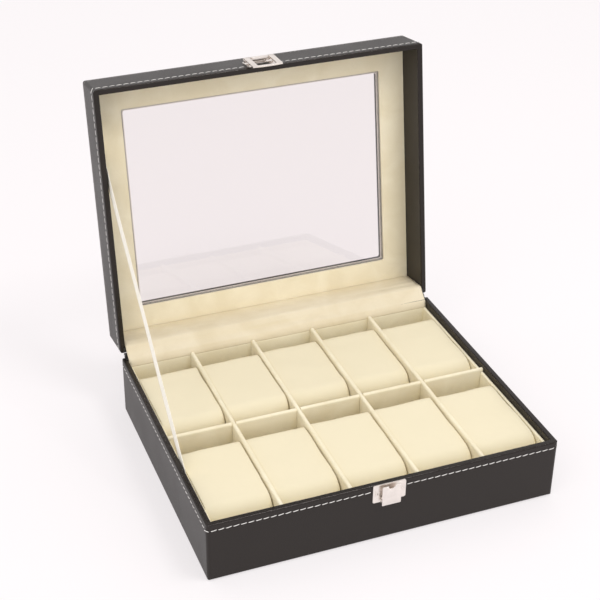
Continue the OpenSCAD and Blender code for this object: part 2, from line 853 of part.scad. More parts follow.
// Straight ribbon with its tails: one behind the lining, one cut off behind the window panel
module ribbon_body(grow) {
    slope = atan2(ribbon_high[2] - ribbon_low[2], ribbon_high[1] - ribbon_low[1]);
    reach = out_y + ribbon_span;
    intersection() {
        translate(ribbon_low) rotate([slope, 0, 0])
            block([-ribbon_t / 2 - grow, -ribbon_tail - grow, -ribbon_w / 2 - grow],
                  [ribbon_t / 2 + grow, ribbon_span + ribbon_w, ribbon_w / 2 + grow]);
        on_lid() block([-out_x, -reach, -reach], [out_x, reach, glass_z + grow]);
    }
}

module stay_ribbon() {
    color("#f6f0dc") ribbon_body(0);
}

underside_felt();
base_bottom_board();
base_front_board();
base_back_board();
base_left_board();
base_right_board();
base_leather();
lining_floor();
lining_front();
lining_back();
lining_left();
lining_right();
long_divider();
cross_divider(1);  // cross_divider_1
cross_divider(2);  // cross_divider_2
cross_divider(3);  // cross_divider_3
cross_divider(4);  // cross_divider_4
watch_pillow(1);  // watch_pillow_1
watch_pillow(2);  // watch_pillow_2
watch_pillow(3);  // watch_pillow_3
watch_pillow(4);  // watch_pillow_4
watch_pillow(5);  // watch_pillow_5
watch_pillow(6);  // watch_pillow_6
watch_pillow(7);  // watch_pillow_7
watch_pillow(8);  // watch_pillow_8
watch_pillow(9);  // watch_pillow_9
watch_pillow(10);  // watch_pillow_10
catch_plate();
catch_nails();
catch_lever();
catch_pin();
catch_spring();
lid_top_board();
lid_front_board();
lid_back_board();
lid_left_board();
lid_right_board();
lid_leather();
window_glass();
window_panel();
clasp_plate();
clasp_nails();
clasp_loop();
clasp_pin();
hinge_base_leaf();
hinge_lid_leaf();
hinge_pin();
hinge_base_screws();
hinge_lid_screws();
base_flap();
hinge_flap();
lid_flap();
stay_ribbon();
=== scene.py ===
"""Looks of a ten-place watch box, laid out as a Blender add-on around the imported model."""

import json
import math

import bmesh
import bpy
from bpy.props import FloatProperty, FloatVectorProperty, PointerProperty
from mathutils import Matrix, Vector, noise


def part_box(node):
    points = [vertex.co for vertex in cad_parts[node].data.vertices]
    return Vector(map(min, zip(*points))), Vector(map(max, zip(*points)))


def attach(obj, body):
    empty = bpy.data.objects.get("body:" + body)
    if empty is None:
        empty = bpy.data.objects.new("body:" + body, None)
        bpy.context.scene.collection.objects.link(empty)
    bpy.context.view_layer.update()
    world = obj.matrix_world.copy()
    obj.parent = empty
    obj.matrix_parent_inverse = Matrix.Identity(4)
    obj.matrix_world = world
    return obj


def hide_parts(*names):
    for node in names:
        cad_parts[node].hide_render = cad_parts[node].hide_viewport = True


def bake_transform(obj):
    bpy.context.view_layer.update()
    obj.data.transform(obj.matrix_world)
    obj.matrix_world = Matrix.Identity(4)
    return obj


bl_info = {
    "name": "Watch Box Looks",
    "version": (1, 0, 0),
    "blender": (4, 5, 0),
    "location": "3D View > Sidebar > Watch Box",
    "description": "Leather, velvet pillows, ribbon, stitching and clasp of a watch box",
    "category": "Object",
}

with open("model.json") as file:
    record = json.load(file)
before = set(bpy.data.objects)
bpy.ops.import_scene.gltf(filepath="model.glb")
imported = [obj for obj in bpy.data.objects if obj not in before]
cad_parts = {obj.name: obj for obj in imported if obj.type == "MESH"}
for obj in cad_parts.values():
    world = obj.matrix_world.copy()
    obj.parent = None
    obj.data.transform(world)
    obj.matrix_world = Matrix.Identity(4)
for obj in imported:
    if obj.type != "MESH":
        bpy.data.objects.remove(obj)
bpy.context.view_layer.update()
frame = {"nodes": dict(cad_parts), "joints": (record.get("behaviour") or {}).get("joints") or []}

MM = 0.001
UP = Vector((0, 0, 1))

# How each pillow has settled in its cell, in millimetres: backward, and up at its front and back
SETTLED = {
    1: (-0.7, 0.2, -0.7),
    2: (-1.0, 1.3, -0.2),
    3: (2.0, -0.6, -1.2),
    4: (2.4, -1.8, -1.6),
    5: (-1.8, 0.2, -0.3),
    6: (-1.2, 0.1, -0.3),
    7: (-0.5, -1.4, -0.8),
    8: (-1.0, -0.7, 0.3),
    9: (-0.5, -1.4, 0.3),
    10: (-2.0, -0.2, -0.2),
}

# Points closer than this are one point, and edges that turn more than this are sharp
SAME_POINT = 0.002 * MM
SHARP_ANGLE = math.radians(35)

# Leather: its corners, the band that hands polish at a rim, and the pale raw edge
CORNER_RADIUS = 2.5 * MM
RIM_REACH = 0.9 * MM
RIM_POLISH = 0.26
RAW_REACH = 0.06 * MM
RAW_COLOUR = (0.95, 0.93, 0.86, 1)

# Lean of the stitches, and how much it changes along the seam
SLANT = 0.12
SLANT_CHANGE = 0.07

# Painted light and shade on the one cream velvet: the share of red, green and blue each part keeps,
# raised on the lining, dividers and lid panel to stand in for light in their shaded recesses,
# lowered on the flap as painted shade; and the nap's dark and light tips
VELVET_PAINTED_LIGHT = {
    "lining": (1.09, 1.12, 1.22),
    "divider": (1.05, 1.07, 1.16),
    "lid": (1.05, 1.06, 1.14),
}
# Painted shade: the flap's velvet is darkened to stand in for less light than the strong light that
# falls on it
FLAP_PAINTED_SHADE = (0.95, 0.935, 0.99)
NAP_TIPS = ((0.88, 0.88, 0.86), (1.06, 1.06, 1.06))

# Pillows: the wrapped form, the filling's pressure and how far the seams hold the cover down
PILLOW_FRONT_RADIUS = 12 * MM
PILLOW_BACK_RADIUS = 7.5 * MM
PILLOW_STEP = 2.8 * MM
PILLOW_HEM = 0.7 * MM
PILLOW_INSET = Vector((0.1, 0.5, 0.5)) * MM
PILLOW_PRESSURE = 4.0
SEAM_PULL = 4 * MM
SEAM_CREASE = 0.4

# Wrinkles of a cover, slow and fine: where their noise starts, their width and their height
WRINKLES = ((0, 18 * MM, 0.55 * MM), (20, 6 * MM, 0.12 * MM))

# Pillows in their cells: wider by a share and pushed left, but no further past the left side of
# the CAD pillow and no nearer to its right side than these
PILLOW_SPREAD = 1.012
PILLOW_PUSH = 0.48 * MM
PILLOW_PAST_LEFT = 0.65 * MM
PILLOW_SHORT_RIGHT = 0.1 * MM
PILLOW_OFF_FLOOR = 0.1 * MM

# Cloth over the hinge: the stops of its profile, each from one edge of the CAD cloth, in
# millimetres backward and up, those on the lid with the lid shut
LEAVES_BASE = ("rim", -0.5, 0.6)
MEETS_LID = ("lid rim", -1.6, 0.6)
FLAP_STOPS = (
    ("foot", -2.05, -0.5),
    ("foot", -1.9, 1.4),
    ("rim", -1.3, -1.4),
    LEAVES_BASE,
    ("rim", 1.0, 1.5),
    ("rim", 2.9, 2.4),
    ("rim", 4.7, 4.1),
    ("rim", 6.6, 6.8),
    MEETS_LID,
    ("lid rim", -2.0, 4),
    ("lid rim", -2.2, 12),
    ("lid end", -2.0, -5),
    ("lid end", -1.7, -0.3),
)
FLAP_MARGIN = 0.15 * MM
FLAP_THICKNESS = 0.4 * MM
FLAP_STEP = 0.8 * MM
FLAP_COLUMNS = 120

# Long creases of that cloth: strength, waves across and along, and where their noise starts
FLAP_CREASES = ((1.0, 9, 9.5, 2.7), (0.5, 22, 21, 8.1))

# Ribbon: its cut, and how it bows inward, sags, cups and drifts at its middle
RIBBON_WIDTH = 10 * MM
RIBBON_THICKNESS = 0.25 * MM
RIBBON_BOW = 0.35 * MM
RIBBON_SAG = 0.6 * MM
RIBBON_CUP = 0.25 * MM
RIBBON_DRIFT = 0.5 * MM
RIBBON_ROWS = 90
RIBBON_COLUMNS = 6

NAIL_HEAD = 0.35 * MM

# Studio: the camera's shift, the pale floor, the surround and the lamps, each with its place,
# its size and its share of the key light's power
CAMERA_SHIFT = (0.0959, -0.0392)
FLOOR_REACH = 4.0
FLOOR_COLOUR = (0.36, 0.347, 0.351, 1)
FLOOR_LIGHT = (1.0, 0.965, 0.973, 1)
SKY_COLOUR = (1.0, 0.975, 0.975, 1)
ZENITH = 0.87
LAMPS = (
    ("key", (0.36, -0.38, 1.3), 0.42, 1.0),
    ("fill", (-0.75, -0.6, 1.1), 0.7, 0.45),
)
LAMP_AIM = Vector((0, 0, 0.06))

HINGE = next(j for j in frame["joints"] if j["name"] == "lid_hinge")
HINGE_POINT = Vector(HINGE["pos_m"])
OPEN_ANGLE = math.radians(-HINGE["range_deg"][0])
OPENED = (
    Matrix.Translation(HINGE_POINT)
    @ Matrix.Rotation(-OPEN_ANGLE, 4, "X")
    @ Matrix.Translation(-HINGE_POINT)
)
SHUT = OPENED.inverted()


def shut_box(node):
    """Lowest and highest corners of a lid node with the lid shut."""
    points = [SHUT @ v.co for v in frame["nodes"][node].data.vertices]
    low = Vector([min(p[i] for p in points) for i in range(3)])
    high = Vector([max(p[i] for p in points) for i in range(3)])
    return low, high


BASE_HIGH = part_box("base_leather")[1]
LID_LOW = shut_box("lid_leather")[0]


# ---- Sizes and colours that a user would change ----


class LeatherSettings(bpy.types.PropertyGroup):
    """The leather that covers the box"""

    colour: FloatVectorProperty(
        name="Leather colour", description="Colour of the grained leather",
        default=(0.009, 0.0072, 0.0058), subtype="COLOR", min=0, max=1,
    )
    grain: FloatProperty(
        name="Grain size", description="Width of one pebble of the grain",
        default=0.9 * MM, min=0.3 * MM, max=3 * MM, unit="LENGTH",
    )
    grain_depth: FloatProperty(
        name="Grain depth", description="Depth of the creases between the pebbles",
        default=0.09 * MM, min=0, max=0.5 * MM, unit="LENGTH",
    )


class VelvetSettings(bpy.types.PropertyGroup):
    """The velvet of the lining, the pillows and the flap"""

    colour: FloatVectorProperty(
        name="Velvet colour", description="Colour of the nap where it is brushed light",
        default=(0.91, 0.825, 0.59), subtype="COLOR", min=0, max=1,
    )
    shade: FloatVectorProperty(
        name="Velvet shade", description="Colour of the nap where it is brushed dark",
        default=(0.84, 0.745, 0.505), subtype="COLOR", min=0, max=1,
    )
    crown: FloatProperty(
        name="Pillow crown", description="Height by which a pillow's top swells between its seams",
        default=1.0 * MM, min=0, max=4 * MM, unit="LENGTH",
    )
    crease: FloatProperty(
        name="Flap crease", description="Height of the long creases in the cloth over the hinge",
        default=0.55 * MM, min=0, max=2 * MM, unit="LENGTH",
    )


class StitchSettings(bpy.types.PropertyGroup):
    """The stitching along the rims"""

    colour: FloatVectorProperty(
        name="Thread colour", description="Colour of the stitching thread",
        default=(0.88, 0.86, 0.83), subtype="COLOR", min=0, max=1,
    )
    inset: FloatProperty(
        name="Stitch inset", description="Distance of the stitching from the rim",
        default=4.7 * MM, min=2 * MM, max=10 * MM, unit="LENGTH",
    )
    pitch: FloatProperty(
        name="Stitch pitch", description="Distance from one stitch to the next",
        default=5 * MM, min=2 * MM, max=10 * MM, unit="LENGTH",
    )
    length: FloatProperty(
        name="Stitch length", description="Length of thread that shows between two holes",
        default=4.45 * MM, min=1 * MM, max=8 * MM, unit="LENGTH",
    )
    thread: FloatProperty(
        name="Thread thickness", description="Diameter of the thread",
        default=0.58 * MM, min=0.2 * MM, max=1.2 * MM, unit="LENGTH",
    )


class MetalSettings(bpy.types.PropertyGroup):
    """The plated clasp and catch"""

    nickel: FloatVectorProperty(
        name="Nickel colour", description="Colour of the plated clasp and catch",
        default=(0.88, 0.82, 0.77), subtype="COLOR", min=0, max=1,
    )
    edge: FloatProperty(
        name="Edge radius", description="Radius of the stamped metal's edges",
        default=0.12 * MM, min=0.02 * MM, max=0.3 * MM, unit="LENGTH",
    )


class StageSettings(bpy.types.PropertyGroup):
    """The camera, the lamps and the floor"""

    camera_place: FloatVectorProperty(
        name="Camera place", description="Where the camera stands",
        default=(-0.3211, -0.7376, 0.6213), subtype="TRANSLATION", unit="LENGTH",
    )
    heading: FloatProperty(
        name="Heading", description="Turn of the view from straight back towards the right",
        default=math.radians(19.19), subtype="ANGLE",
    )
    tilt: FloatProperty(
        name="Tilt", description="Angle by which the camera looks down",
        default=math.radians(30.62), subtype="ANGLE",
    )
    roll: FloatProperty(
        name="Roll", description="Turn of the camera about its own line of sight",
        default=math.radians(-0.678), subtype="ANGLE",
    )
    lens: FloatProperty(
        name="Lens", description="Focal length in millimetres on a 36 mm sensor",
        default=83.5, min=20, max=200,
    )
    key_power: FloatProperty(
        name="Key light", description="Power of the lamp high at the front right, in watts",
        default=4.6, min=0, max=200, subtype="POWER",
    )
    sky: FloatProperty(
        name="Surround",
        description="Brightness of the white studio round the box, near the ground",
        default=0.97, min=0, max=5,
    )
    glow: FloatProperty(
        name="Floor glow", description="Light that the pale floor gives back by itself",
        default=0.62, min=0, max=2,
    )


# ---- Materials ----


def add(tree, kind, values=None, **attributes):
    """New node in a tree, with its attributes and the values of its inputs."""
    made = tree.nodes.new(kind)
    for name, value in attributes.items():
        setattr(made, name, value)
    for name, value in (values or {}).items():
        made.inputs[name].default_value = value
    return made


def join(tree, *ends):
    """Link pairs of sockets: output, input, output, input."""
    for out, into in zip(ends[::2], ends[1::2]):
        tree.links.new(out, into)


def new_group(name, inputs, outputs):
    """Node group with float or vector inputs (name: default) and float outputs."""
    tree = bpy.data.node_groups.new(name, "ShaderNodeTree")
    for label, value in inputs.items():
        kind = "NodeSocketVector" if value is None else "NodeSocketFloat"
        socket = tree.interface.new_socket(label, in_out="INPUT", socket_type=kind)
        if value is not None:
            socket.default_value = value
    for label in outputs:
        tree.interface.new_socket(label, in_out="OUTPUT", socket_type="NodeSocketFloat")
    return tree, add(tree, "NodeGroupInput").outputs, add(tree, "NodeGroupOutput").inputs


def grain_group():
    """Pebbled leather: rounded cells with fine pores, and a slow change over the hide."""
    tree, given, result = new_group(
        "Leather Grain", {"Vector": None, "Scale": 1000.0}, ["Height", "Hide"]
    )
    warp = add(tree, "ShaderNodeTexNoise", {"Detail": 2.0})
    shift = add(tree, "ShaderNodeVectorMath", {1: (0.6 * MM,) * 3}, operation="MULTIPLY_ADD")
    cells = add(tree, "ShaderNodeTexVoronoi", feature="DISTANCE_TO_EDGE")
    pebble = add(tree, "ShaderNodeMapRange", {"From Max": 0.28}, interpolation_type="SMOOTHERSTEP")
    pores = add(tree, "ShaderNodeTexNoise", {"Detail": 3.0, "Roughness": 0.6})
    finer = add(tree, "ShaderNodeMath", {1: 3.5}, operation="MULTIPLY")
    height = add(tree, "ShaderNodeMath", {1: 0.35}, operation="MULTIPLY_ADD")
    hide = add(tree, "ShaderNodeTexNoise", {"Scale": 28.0, "Detail": 4.0})
    join(
        tree,
        given["Vector"], warp.inputs["Vector"],
        given["Scale"], warp.inputs["Scale"],
        warp.outputs["Color"], shift.inputs[0],
        given["Vector"], shift.inputs[2],
        shift.outputs["Vector"], cells.inputs["Vector"],
        given["Scale"], cells.inputs["Scale"],
        cells.outputs["Distance"], pebble.inputs["Value"],
        given["Scale"], finer.inputs[0],
        given["Vector"], pores.inputs["Vector"],
        finer.outputs["Value"], pores.inputs["Scale"],
        pores.outputs["Fac"], height.inputs[0],
        pebble.outputs["Result"], height.inputs[2],
        height.outputs["Value"], result["Height"],
        given["Vector"], hide.inputs["Vector"],
        hide.outputs["Fac"], result["Hide"],
    )
    return tree


def nap_group():
    """Short pile: fine tips, and broad strokes where the nap lies another way."""
    tree, given, result = new_group(
        "Cloth Nap", {"Vector": None, "Tips": 2600.0, "Strokes": 38.0}, ["Height", "Stroke", "Tip"]
    )
    tips = add(tree, "ShaderNodeTexNoise", {"Detail": 3.0, "Roughness": 0.65})
    strokes = add(tree, "ShaderNodeTexNoise", {"Detail": 3.0, "Distortion": 0.8})
    lie = add(tree, "ShaderNodeMapRange", {"From Min": 0.35, "From Max": 0.68})
    join(
        tree,
        given["Vector"], tips.inputs["Vector"],
        given["Tips"], tips.inputs["Scale"],
        tips.outputs["Fac"], result["Height"],
        tips.outputs["Fac"], result["Tip"],
        given["Vector"], strokes.inputs["Vector"],
        given["Strokes"], strokes.inputs["Scale"],
        strokes.outputs["Fac"], lie.inputs["Value"],
        lie.outputs["Result"], result["Stroke"],
    )
    return tree


def weave_group():
    """Threads that cross: two waves at right angles, with a little unevenness."""
    tree, given, result = new_group(
        "Thread Weave", {"Vector": None, "Scale": 1500.0}, ["Height", "Slub"]
    )
    across = add(tree, "ShaderNodeTexWave", {"Distortion": 0.4}, bands_direction="Y")
    along = add(tree, "ShaderNodeTexWave", {"Distortion": 0.4}, bands_direction="Z")
    both = add(tree, "ShaderNodeMath", operation="MAXIMUM")
    slub = add(tree, "ShaderNodeTexNoise", {"Scale": 220.0, "Detail": 2.0})
    join(
        tree,
        given["Vector"], across.inputs["Vector"],
        given["Vector"], along.inputs["Vector"],
        given["Scale"], across.inputs["Scale"],
        given["Scale"], along.inputs["Scale"],
        across.outputs["Fac"], both.inputs[0],
        along.outputs["Fac"], both.inputs[1],
        both.outputs["Value"], result["Height"],
        given["Vector"], slub.inputs["Vector"],
        slub.outputs["Fac"], result["Slub"],
    )
    return tree


def scuff_group():
    """Handling marks: hairline scratches and broad smears."""
    tree, given, result = new_group(
        "Handling Marks", {"Vector": None, "Scale": 90.0}, ["Scratch", "Smear"]
    )
    stretch = add(
        tree, "ShaderNodeMapping", {"Scale": (1.0, 14.0, 5.0), "Rotation": (0.3, 0.5, 0.6)}
    )
    lines = add(tree, "ShaderNodeTexNoise", {"Detail": 5.0, "Roughness": 0.7})
    thin = add(tree, "ShaderNodeMapRange", {"From Min": 0.56, "From Max": 0.72})
    smear = add(tree, "ShaderNodeTexNoise", {"Detail": 3.0})
    join(
        tree,
        given["Vector"], stretch.inputs["Vector"],
        stretch.outputs["Vector"], lines.inputs["Vector"],
        given["Scale"], lines.inputs["Scale"],
        lines.outputs["Fac"], thin.inputs["Value"],
        thin.outputs["Result"], result["Scratch"],
        given["Vector"], smear.inputs["Vector"],
        given["Scale"], smear.inputs["Scale"],
        smear.outputs["Fac"], result["Smear"],
    )
    return tree


GROUP_MAKERS = {
    "Leather Grain": grain_group,
    "Cloth Nap": nap_group,
    "Thread Weave": weave_group,
    "Handling Marks": scuff_group,
}


def place_group(tree, name, values=None):
    """The named group as a node that reads the piece's own coordinates."""
    group = bpy.data.node_groups.get(name) or GROUP_MAKERS[name]()
    made = add(tree, "ShaderNodeGroup", node_tree=group)
    for label, value in (values or {}).items():
        made.inputs[label].default_value = value
    place = add(tree, "ShaderNodeTexCoord")
    join(tree, place.outputs["Object"], made.inputs["Vector"])
    return made


def new_material(name, values):
    """Material with one Principled BSDF, its plain values set on its own sockets."""
    material = bpy.data.materials.new(name)
    material.use_nodes = True
    tree = material.node_tree
    shader = next(n for n in tree.nodes if n.type == "BSDF_PRINCIPLED")
    for label, value in values.items():
        shader.inputs[label].default_value = value
    return material, tree, shader


def mix_colours(tree, factor, first, second):
    """Output that goes from the first colour to the second with the factor."""
    mix = add(tree, "ShaderNodeMix", data_type="RGBA")
    mix.inputs["A"].default_value = (*first, 1)
    mix.inputs["B"].default_value = (*second, 1)
    join(tree, factor, mix.inputs["Factor"])
    return mix.outputs["Result"]


def spread(tree, factor, low, high):
    """Output that carries a 0 to 1 factor into a range."""
    span = add(tree, "ShaderNodeMapRange", {"To Min": low, "To Max": high})
    join(tree, factor, span.inputs["Value"])
    return span.outputs["Result"]


def bump(tree, height, shader, distance, strength):
    """Relief of a height over the shader's surface."""
    relief = add(tree, "ShaderNodeBump", {"Distance": distance, "Strength": strength})
    join(tree, height, relief.inputs["Height"], relief.outputs["Normal"], shader.inputs["Normal"])


def near_plane(tree, plane, reach):
    """Output that is 1 within reach of a plane and 0 elsewhere."""
    normal, distance = plane
    place = add(tree, "ShaderNodeTexCoord")
    depth = add(tree, "ShaderNodeVectorMath", {1: normal}, operation="DOT_PRODUCT")
    near = add(tree, "ShaderNodeMath", {1: distance, 2: reach}, operation="COMPARE")
    join(tree, place.outputs["Object"], depth.inputs[0], depth.outputs["Value"], near.inputs[0])
    return near.outputs["Value"]


def scaled(colour, share):
    """The colour, darker or lighter by a share."""
    return tuple(c * share for c in colour)


def leather_material(look, name, rim_plane, raw_plane=None):
    """Grained leather, polished by hands at the rim and pale where its raw edge shows.

    Each plane is a normal and a distance from the origin.
    """
    material, tree, shader = new_material(
        name, {"IOR": 1.43, "Specular Tint": (1.0, 0.91, 0.88, 1)}
    )
    grain = place_group(tree, "Leather Grain", {"Scale": 1 / look.grain})
    dark, light = scaled(look.colour, 0.8), scaled(look.colour, 1.35)
    colour = mix_colours(tree, grain.outputs["Hide"], dark, light)
    if raw_plane is not None:
        edge = add(tree, "ShaderNodeMix", data_type="RGBA")
        edge.inputs["B"].default_value = RAW_COLOUR
        raw = near_plane(tree, raw_plane, RAW_REACH)
        join(tree, raw, edge.inputs["Factor"], colour, edge.inputs["A"])
        colour = edge.outputs["Result"]
    polish = add(tree, "ShaderNodeMath", {1: -RIM_POLISH}, operation="MULTIPLY_ADD")
    join(
        tree,
        near_plane(tree, rim_plane, RIM_REACH), polish.inputs[0],
        spread(tree, grain.outputs["Hide"], 0.34, 0.5), polish.inputs[2],
        polish.outputs["Value"], shader.inputs["Roughness"],
        colour, shader.inputs["Base Color"],
    )
    bump(tree, grain.outputs["Height"], shader, look.grain_depth, 0.28)
    return material


def velvet_material(look, name="cream_velvet", painted_light_and_shade=(1.0, 1.0, 1.0)):
    """Short-piled velvet, its colours multiplied by a share of red, green and blue: painted light
    that lightens, or painted shade that darkens, this part of the one velvet.
    """
    # Painted light or shade: both nap colours scaled by this part's share
    shade, light = (
        tuple(c * t for c, t in zip(colour, painted_light_and_shade)) for colour in (look.shade, look.colour)
    )
    material, tree, shader = new_material(
        name,
        {
            "Roughness": 0.9,
            "Specular IOR Level": 0.15,
            "Sheen Weight": 0.1,
            "Sheen Roughness": 0.45,
            "Sheen Tint": (1.0, 0.96, 0.86, 1),
        },
    )
    nap = place_group(tree, "Cloth Nap")
    lie = mix_colours(tree, nap.outputs["Stroke"], shade, light)
    tips = add(tree, "ShaderNodeMix", data_type="RGBA", blend_type="MULTIPLY")
    tips.inputs["Factor"].default_value = 1
    tip = mix_colours(tree, nap.outputs["Tip"], *NAP_TIPS)
    join(
        tree,
        lie, tips.inputs["A"],
        tip, tips.inputs["B"],
        tips.outputs["Result"], shader.inputs["Base Color"],
    )
    bump(tree, nap.outputs["Height"], shader, 0.22 * MM, 0.5)
    return material


def two_tone_material(name, values, group, tones, relief, gloss=None):
    """Finish made with one shader group.

    tones is a mask of the group and the colours where it is 0 and 1, relief is a height of
    the group with its distance and strength, and gloss is a mask and the roughness where it
    is 0 and 1.
    """
    material, tree, shader = new_material(name, values)
    effect = place_group(tree, *group)
    mask, dark, light = tones
    join(tree, mix_colours(tree, effect.outputs[mask], dark, light), shader.inputs["Base Color"])
    if gloss is not None:
        mask, low, high = gloss
        join(tree, spread(tree, effect.outputs[mask], low, high), shader.inputs["Roughness"])
    height, distance, strength = relief
    bump(tree, effect.outputs[height], shader, distance, strength)
    return material


def felt_material():
    """Matt black felt."""
    return two_tone_material(
        "black_felt",
        {"Roughness": 0.95, "Specular IOR Level": 0.2},
        group=("Cloth Nap", {"Tips": 1400.0, "Strokes": 60.0}),
        tones=("Tip", (0.012, 0.011, 0.011), (0.05, 0.048, 0.046)),
        relief=("Height", 0.3 * MM, 1.0),
    )


def satin_material():
    """Ivory satin ribbon, its threads catching the light."""
    return two_tone_material(
        "ivory_satin",
        {"Sheen Weight": 0.15, "Sheen Roughness": 0.35, "Specular IOR Level": 0.6},
        group=("Thread Weave", {"Scale": 900.0}),
        tones=("Slub", (0.95, 0.9, 0.76), (1.0, 0.975, 0.87)),
        relief=("Height", 0.05 * MM, 0.6),
        gloss=("Height", 0.34, 0.5),
    )


def thread_material(look):
    """Twisted sewing thread."""
    return two_tone_material(
        "white_thread",
        {"Roughness": 0.7, "Specular IOR Level": 0.35},
        group=("Thread Weave", {"Scale": 700.0}),
        tones=("Slub", scaled(look.colour, 0.86), scaled(look.colour, 1.1)),
        relief=("Height", 0.1 * MM, 0.6),
    )


def plated_material(name, colour, roughness, metallic=1.0):
    """Metal with handling marks: nickel, zinc or black enamel."""
    return two_tone_material(
        name,
        {"Metallic": metallic},
        group=("Handling Marks", {"Scale": 260.0}),
        tones=("Smear", scaled(colour, 0.86), scaled(colour, 1.1)),
        relief=("Scratch", 0.012 * MM, 0.5),
        gloss=("Smear", roughness, roughness + 0.16),
    )


def fibreboard_material(name, dark, light):
    """Pressed board or card, flecked with its fibres."""
    return two_tone_material(
        name,
        {"Roughness": 0.85},
        group=("Cloth Nap", {"Tips": 900.0, "Strokes": 120.0}),
        tones=("Tip", dark, light),
        relief=("Height", 0.15 * MM, 1.0),
    )


def glass_material():
    """Clear pane that lets the lamps' light and the soft light round it straight through."""
    material, tree, shader = new_material(
        "window_glass",
        {
            "Base Color": (0.885, 0.853, 0.85, 1),
            "Transmission Weight": 1.0,
            "Metallic": 0.0,
            "IOR": 1.45,
        },
    )
    marks = place_group(tree, "Handling Marks", {"Scale": 30.0})
    join(tree, spread(tree, marks.outputs["Smear"], 0.0, 0.03), shader.inputs["Roughness"])
    clear = add(tree, "ShaderNodeBsdfTransparent", {"Color": (0.9, 0.885, 0.895, 1)})
    rays = add(tree, "ShaderNodeLightPath")
    surface = shader.outputs["BSDF"]
    for kind in ("Is Diffuse Ray", "Is Shadow Ray"):
        mix = add(tree, "ShaderNodeMixShader")
        join(
            tree,
            rays.outputs[kind], mix.inputs["Fac"],
            surface, mix.inputs[1],
            clear.outputs["BSDF"], mix.inputs[2],
        )
        surface = mix.outputs["Shader"]
    join(tree, surface, tree.nodes["Material Output"].inputs["Surface"])
    return material


def finish_node(node, material):
    """A CAD node keeps its shape and takes a finish."""
    data = frame["nodes"][node].data
    data.materials.clear()
    data.materials.append(material)


def ready(name, maker, *arguments):
    """The material of that name, made the first time it is asked for."""
    return bpy.data.materials.get(name) or maker(*arguments)


# ---- Meshes ----


def new_piece(name, mesh, material, body):
    """Object that rides on a CAD body, with its finish."""
    piece = bpy.data.objects.new(name, mesh)
    bpy.context.scene.collection.objects.link(piece)
    mesh.materials.clear()
    mesh.materials.append(material)
    if body is not None:
        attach(piece, body)
    return piece


def mesh_from(name, points, faces, smooth=True):
    """Mesh of those points and faces."""
    mesh = bpy.data.meshes.new(name)
    mesh.from_pydata([tuple(p) for p in points], [], faces)
    if smooth:
        mesh.shade_smooth()
    return mesh


def ring_faces(count, sides, start=0, close=False):
    """Quads between rings of points that lie one after another."""
    faces = []
    for i in range(count - 1):
        for k in range(sides if close else sides - 1):
            n = (k + 1) % sides
            a, b = start + i * sides, start + (i + 1) * sides
            faces.append((a + k, a + n, b + n, b + k))
    return faces


def capped_tube(count, sides, start):
    """Faces of a tube of closed rings, with a face over each end."""
    last = start + (count - 1) * sides
    ends = [tuple(range(start + sides - 1, start - 1, -1)), tuple(range(last, last + sides))]
    return ring_faces(count, sides, start, close=True) + ends


def softened_copy(node, radius, name, material, body):
    """Copy of a CAD node with its sharp edges rounded, shown in its place."""
    form = bmesh.new()
    form.from_mesh(frame["nodes"][node].data)
    bmesh.ops.remove_doubles(form, verts=form.verts, dist=SAME_POINT)
    bmesh.ops.dissolve_limit(form, angle_limit=math.radians(2), verts=form.verts, edges=form.edges)
    sharp = [
        e for e in form.edges if len(e.link_faces) == 2 and e.calc_face_angle(0) > SHARP_ANGLE
    ]
    bmesh.ops.bevel(
        form, geom=sharp, offset=radius, segments=2, affect="EDGES", profile=0.5, clamp_overlap=True
    )
    mesh = bpy.data.meshes.new(name)
    form.to_mesh(mesh)
    form.free()
    mesh.shade_smooth()
    mesh.set_sharp_from_angle(angle=math.radians(50))
    piece = new_piece(name, mesh, material, body)
    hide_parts(node)
    return piece


def step_cloth(piece, pinned, pressure, frames=20):
    """Swell a closed mesh as cloth under pressure, its seams held, and keep the result."""
    held = piece.vertex_groups.new(name="seam")
    held.add(pinned, 1.0, "REPLACE")
    cloth = piece.modifiers.new("Cloth", "CLOTH")
    settings = cloth.settings
    settings.quality = 6
    settings.mass = 0.15
    settings.tension_stiffness = 20
    settings.compression_stiffness = 20
    settings.shear_stiffness = 8
    settings.bending_stiffness = 1.5
    settings.air_damping = 3
    settings.vertex_group_mass = "seam"
    settings.use_pressure = True
    settings.uniform_pressure_force = pressure
    settings.effector_weights.gravity = 0
    cloth.point_cache.frame_start = 1
    cloth.point_cache.frame_end = frames
    scene = bpy.context.scene
    for number in range(1, frames + 1):
        scene.frame_set(number)
    held_shape = piece.evaluated_get(bpy.context.evaluated_depsgraph_get())
    moved = [v.co.copy() for v in held_shape.data.vertices]
    piece.modifiers.remove(cloth)
    piece.vertex_groups.clear()
    scene.frame_set(1)
    return moved


def rounded_profile(length, height, front_r, back_r, step):
    """Points round an upright rectangle with round corners, from the front of its top."""
    half_l, half_h = length / 2, height / 2
    points = []

    def straight(a, b):
        count = max(1, round((Vector(b) - Vector(a)).length / step))
        points.extend(Vector(a).lerp(Vector(b), i / count) for i in range(count))

    def corner(y, z, radius, start):
        count = max(3, round(math.pi / 2 * radius / step))
        for i in range(count):
            angle = math.radians(start) - math.pi / 2 * i / count
            points.append(Vector((y, z)) + radius * Vector((math.cos(angle), math.sin(angle))))

    front, back = front_r - half_l, half_l - back_r
    straight((front, half_h), (back, half_h))
    corner(back, half_h - back_r, back_r, 90)
    straight((half_l, half_h - back_r), (half_l, back_r - half_h))
    corner(back, back_r - half_h, back_r, 0)
    straight((back, -half_h), (front, -half_h))
    corner(front, front_r - half_h, front_r, -90)
    straight((-half_l, front_r - half_h), (-half_l, half_h - front_r))
    corner(front, half_h - front_r, front_r, 180)
    return points


